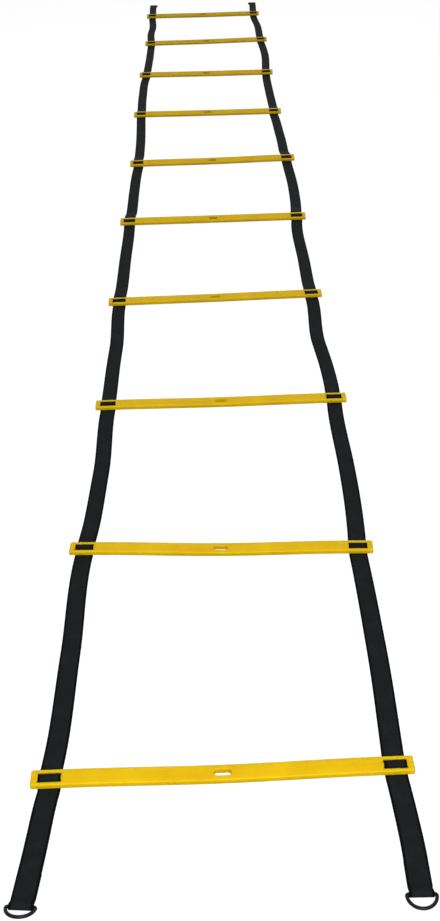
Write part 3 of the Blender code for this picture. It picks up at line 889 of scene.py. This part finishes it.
def ring_path():
    """The wire's middle line: a straight bar with two corners, and a half circle."""
    half = RING_INNER_WIDTH / 2 + RING_WIRE_RADIUS
    depth = RING_INNER_DEPTH + 2 * RING_WIRE_RADIUS
    radius = RING_CORNER_RADIUS
    points = []
    for step in range(CORNER_STEPS + 1):
        angle = math.radians(180 - 90 * step / CORNER_STEPS)
        x = radius - half + radius * math.cos(angle)
        points.append(Vector((x, radius * math.sin(angle) - radius)))
    points += [Vector((-point.x, point.y)) for point in reversed(points)]
    for step in range(RING_ARC_STEPS + 1):
        angle = math.radians(-180 * step / RING_ARC_STEPS)
        points.append(Vector((half * math.cos(angle), half - depth + half * math.sin(angle))))
    return points


def ring_mesh():
    shape = bmesh.new()
    points = ring_path()
    rows = []
    for index, point in enumerate(points):
        along = (points[(index + 1) % len(points)] - points[index - 1]).normalized()
        outward = Vector((along.y, -along.x))
        row = []
        for side in range(WIRE_SIDES):
            angle = math.radians(360) * side / WIRE_SIDES
            flat = point + outward * RING_WIRE_RADIUS * math.cos(angle)
            row.append(shape.verts.new((flat.x, flat.y, RING_WIRE_RADIUS * math.sin(angle))))
        rows.append(row)
    for index, row in enumerate(rows):
        before = rows[index - 1]
        for side in range(WIRE_SIDES):
            shape.faces.new((before[side - 1], before[side], row[side], row[side - 1]))
    return finished_mesh(shape, "ring")


# Stitching


def stitch_rows(rows):
    """Stitch middles and directions along straight rows given by their two ends."""
    stitches = []
    for start, end in rows:
        start, end = Vector(start), Vector(end)
        count = max(int((end - start).length / STITCH_PITCH), 1)
        direction = (end - start).normalized()
        for step in range(count):
            stitches.append((start + (end - start) * (step + 0.5) / count, direction))
    return stitches


def stitch_mesh(name, stitches, height):
    """Small bowed threads lying on a flat layer whose upper face is at the given height."""
    shape = bmesh.new()
    for middle, direction in stitches:
        beside = Vector((-direction.y, direction.x))
        rows = []
        for share in THREAD_SHARES:
            radius = THREAD_RADIUS * (THREAD_TIP if abs(share) == 1.0 else 1.0)
            level = height + THREAD_RADIUS * (THREAD_RISE - THREAD_BOW * share * share)
            point = middle + direction * share * STITCH_LENGTH / 2
            row = []
            for side in range(THREAD_SIDES):
                angle = math.radians(360 * side / THREAD_SIDES)
                flat = point + beside * radius * math.cos(angle)
                row.append(shape.verts.new((flat.x, flat.y, level + radius * math.sin(angle))))
            rows.append(row)
        for before, after in zip(rows, rows[1:]):
            for side in range(THREAD_SIDES):
                corners = (before[side - 1], before[side], after[side], after[side - 1])
                shape.faces.new(corners)
        shape.faces.new(rows[0])
        shape.faces.new(rows[-1])
    return finished_mesh(shape, name)


def stitching(name, rows, height, way, material):
    mesh = stitch_mesh(name, stitch_rows(rows), height)
    mesh.materials.append(material)
    piece = add_object(name, mesh)
    piece.matrix_world = way
    return piece


def build_stitching(material, shift):
    half = HALF_WIDTH - STITCH_INSET
    low = FOLD_BACK_DROP_RUN + BOX_START_MARGIN
    high = FOLD_BACK_LENGTH - BOX_END_MARGIN
    corners = ((-half, low), (half, low), (half, high), (-half, high))
    box_rows = [(corners[index - 1], corners[index]) for index in range(4)]
    box_rows += [(corners[0], corners[2]), (corners[1], corners[3])]
    hem_rows = []
    for margin in HEM_ROW_MARGINS:
        hem_rows.append(((-half, margin - HEM_LENGTH), (half, margin - HEM_LENGTH)))
    top = UPPER_LAYER_HEIGHT + HALF_STRAP
    last = RUNG_COUNT - 1
    for side in SIDE_SIGNS:
        way = Matrix.Translation(shift) @ ring_way(side)
        height = top - RING_BAR_HEIGHT
        piece = stitching(f"stitching_near_{side}", box_rows, height, way, material)
        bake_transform(piece)
        leaving = weave_stations(last, side)[1][-1]
        x = leaving[0].x + FAR_SIDE_SHARES[side] * RUNG_LENGTH
        y = rung_frame(last).translation.y + FAR_TAIL
        way = Matrix.Translation(shift + Vector((x, y, 0)))
        piece = stitching(f"stitching_far_{side}", hem_rows, top, way, material)
        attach(piece, f"panel_{RUNG_COUNT:02d}")


# Assembly


def build_rungs(material, shift):
    for index in range(RUNG_COUNT):
        mesh = rung_mesh(index)
        mesh.materials.append(material)
        node = f"rung_{index + 1:02d}"
        piece = add_object(f"{node}_moulded", mesh)
        piece.matrix_world = Matrix.Translation(shift) @ rung_frame(index)
        weighted = piece.modifiers.new("WeightedNormal", "WEIGHTED_NORMAL")
        weighted.keep_sharp = True
        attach(piece, node)
        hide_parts(node)


def build_rings(material, shift):
    mesh = ring_mesh()
    mesh.materials.append(material)
    for side in SIDE_SIGNS:
        node = f"ring_{side}"
        piece = add_object(f"{node}_wire", mesh)
        swing = Matrix.Rotation(-math.radians(RING_SWING_DEGREES[side]), 4, "X")
        piece.matrix_world = Matrix.Translation(shift) @ ring_way(side) @ swing
        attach(piece, node)
        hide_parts(node)


def build_floor():
    """A white floor that keeps the ladder's soft shadow and glows a little where it is seen."""
    shape = bmesh.new()
    bmesh.ops.create_grid(shape, x_segments=1, y_segments=1, size=FLOOR_HALF_SIZE)
    mesh = bpy.data.meshes.new("floor")
    shape.to_mesh(mesh)
    shape.free()
    floor = add_object("floor", mesh)
    floor.location.z = -FLOOR_DROP
    material, tree, out = empty_material("floor")
    diffuse = tree.nodes.new("ShaderNodeBsdfDiffuse")
    diffuse.inputs["Color"].default_value = FLOOR_GREY
    glow = tree.nodes.new("ShaderNodeEmission")
    feed(tree, glow.inputs["Strength"], times(tree, seen_share(tree), FLOOR_GLOW))
    both = tree.nodes.new("ShaderNodeAddShader")
    tree.links.new(diffuse.outputs[0], both.inputs[0])
    tree.links.new(glow.outputs[0], both.inputs[1])
    tree.links.new(both.outputs[0], out.inputs["Surface"])
    mesh.materials.append(material)


def build_world():
    """White surroundings where they are seen, which light the ladder only a little."""
    world = bpy.data.worlds.new("studio")
    bpy.context.scene.world = world
    world.use_nodes = True
    tree = world.node_tree
    tree.nodes.clear()
    out = tree.nodes.new("ShaderNodeOutputWorld")
    back = tree.nodes.new("ShaderNodeBackground")
    back.inputs["Color"].default_value = WORLD_WHITE
    strength = to_range(tree, seen_share(tree), 0.0, 1.0, WORLD_LIGHT, WORLD_SEEN)
    feed(tree, back.inputs["Strength"], strength)
    tree.links.new(back.outputs[0], out.inputs["Surface"])


def build_lamps(shift):
    """A broad soft lamp over the ladder and a spot in front of it."""
    overhead = bpy.data.lights.new("overhead", "AREA")
    overhead.shape = "RECTANGLE"
    overhead.size, overhead.size_y = OVERHEAD_SIZE
    overhead.energy = OVERHEAD_POWER
    place_lamp(overhead, shift + Vector(OVERHEAD_PLACE), shift + Vector(OVERHEAD_TARGET))
    front = bpy.data.lights.new("front", "SPOT")
    front.shadow_soft_size = FRONT_RADIUS
    front.spot_size = math.radians(FRONT_CONE_DEGREES)
    front.spot_blend = 1.0
    front.energy = FRONT_POWER
    place_lamp(front, shift + Vector(FRONT_PLACE), shift + Vector(FRONT_TARGET))


def place_lamp(light, place, target):
    lamp = add_object(light.name, light)
    lamp.location = place
    lamp.rotation_mode = "QUATERNION"
    lamp.rotation_quaternion = (target - place).to_track_quat("-Z", "Y")


def build_camera(shift):
    pitch = math.radians(CAMERA_PITCH)
    yaw = math.radians(CAMERA_YAW)
    roll = math.radians(CAMERA_ROLL)
    reach = math.cos(pitch)
    ahead = Vector((math.sin(yaw) * reach, math.cos(yaw) * reach, -math.sin(pitch)))
    level = Vector((math.cos(yaw), -math.sin(yaw), 0))
    upright = level.cross(ahead)
    right = math.cos(roll) * level - math.sin(roll) * upright
    up = math.sin(roll) * level + math.cos(roll) * upright
    data = bpy.data.cameras.new("camera")
    data.sensor_width = SENSOR
    data.lens = FOCAL_PIXELS / IMAGE_HEIGHT * SENSOR
    data.clip_start, data.clip_end = CAMERA_CLIP
    camera = add_object("camera", data)
    facing = Matrix((right, up, -ahead)).transposed().to_4x4()
    camera.matrix_world = Matrix.Translation(shift + Vector(CAMERA_PLACE)) @ facing
    bpy.context.scene.camera = camera


# The CAD centres the ladder on its own box, so the first fold's place in the record gives its shift
first_fold = next(joint for joint in frame["joints"] if joint["name"] == "fold_01")
shift = Vector(first_fold["pos_m"]) - Vector((0, fold_y(0), STRAP_THICKNESS))

build_camera(shift)
build_rungs(plastic_material(), shift)
build_straps(webbing_material(), shift)
build_rings(ring_material(), shift)
build_stitching(thread_material(), shift)
build_floor()
build_world()
build_lamps(shift)
bpy.context.scene.view_settings.view_transform = "Standard"

bpy.context.view_layer.update()
